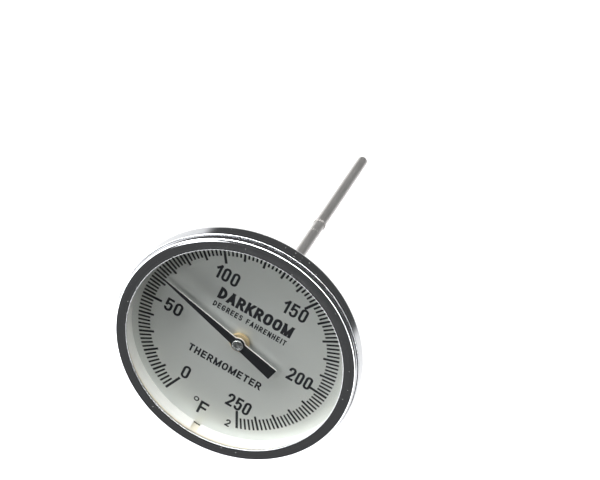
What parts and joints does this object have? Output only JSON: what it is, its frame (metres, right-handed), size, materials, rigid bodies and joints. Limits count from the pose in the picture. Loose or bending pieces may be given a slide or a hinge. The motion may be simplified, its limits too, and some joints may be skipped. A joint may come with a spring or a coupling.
{
  "type": "dial thermometer",
  "caption": "Round dial thermometer with a glazed face, a rolled bezel and a long thin stem leaving the middle of its back; the pointer turns.",
  "frame": {"origin": "centre of the flat of the case back, where the stem leaves the case", "axes": "+Z out of the dial, along the stem's axis away from its tip; +Y towards 12 o'clock on the dial"},
  "size_m": [0.086, 0.086, 0.1632],
  "materials": {
    "case_steel": "spun stainless steel, satin",
    "bezel_steel": "bright polished stainless steel",
    "stem_steel": "ground stainless steel",
    "weld_steel": "dull weld bead",
    "spindle_steel": "bright turned steel",
    "lens_glass": "clear flat glass",
    "gasket_rubber": "cream rubber",
    "seal_rubber": "black rubber",
    "spacer_finish": "white satin enamel",
    "dial_face": "satin silver with black printing",
    "pointer_black": "matt black",
    "turned_brass": "turned brass",
    "bearing_bronze": "sintered bronze",
    "bimetal_strip": "rolled bimetal strip"
  },
  "bodies": {
    "case": {"case_shell": "case_steel", "bezel_seal": "seal_rubber", "bezel_ring": "bezel_steel", "lens": "lens_glass", "lens_gasket": "gasket_rubber", "spacer_ring": "spacer_finish", "dial_plate": "dial_face", "stem_socket": "case_steel", "socket_weld": "weld_steel", "stem_tube": "stem_steel", "stem_ring": "stem_steel", "tip_plug": "stem_steel", "coil_anchor": "stem_steel", "bimetal_coil": "bimetal_strip", "top_bearing": "bearing_bronze", "middle_guide": "bearing_bronze", "lower_guide": "bearing_bronze"},
    "movement": {"spindle_shaft": "spindle_steel", "coil_collar": "turned_brass", "stop_collar": "turned_brass", "pointer_bush": "turned_brass", "pointer": "pointer_black", "pointer_hub": "spindle_steel"}
  },
  "joints": [
    {"name": "pointer_turn", "type": "hinge", "parent": "case", "child": "movement", "pos_m": [0, 0, 0], "axis": [0, 0, -1], "range_deg": [-80.86, 232.54], "stiffness_Nm_per_rad": 0.0004, "deforming": ["bimetal_coil"]}
  ]
}
